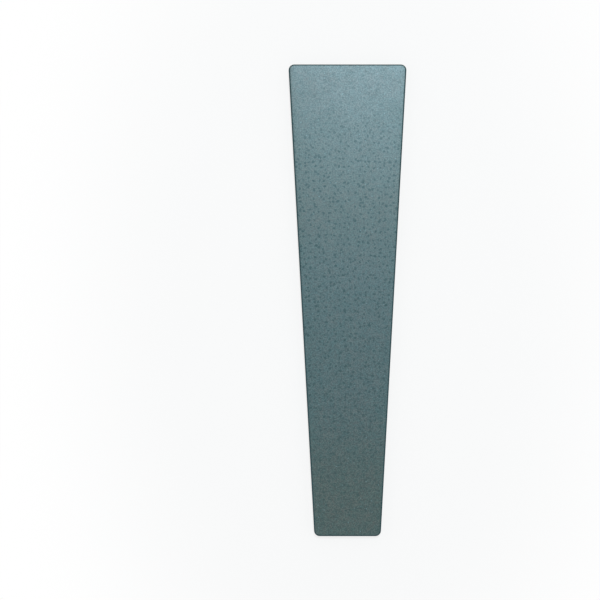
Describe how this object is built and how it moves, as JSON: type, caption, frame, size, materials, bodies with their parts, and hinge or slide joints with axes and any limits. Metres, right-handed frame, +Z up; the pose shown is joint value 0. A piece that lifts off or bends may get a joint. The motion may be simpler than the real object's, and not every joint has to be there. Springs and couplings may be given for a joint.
{
  "type": "porcelain tile",
  "caption": "Long trapezoid porcelain wall tile with a satin speckled glaze, rounded corners and edge, and a keyed back for adhesive.",
  "frame": {"origin": "under the middle of the tile's bounding box, on the plane of its back", "axes": "+X across the width, +Y along the length towards the wide end, +Z up out of the glazed face"},
  "size_m": [0.0994, 0.398, 0.009],
  "materials": {
    "glaze": "satin dark teal-grey glaze with darker specks, bare fired body on the back and lower edges"
  },
  "bodies": {
    "root": {"tile": "glaze"}
  },
  "joints": []
}
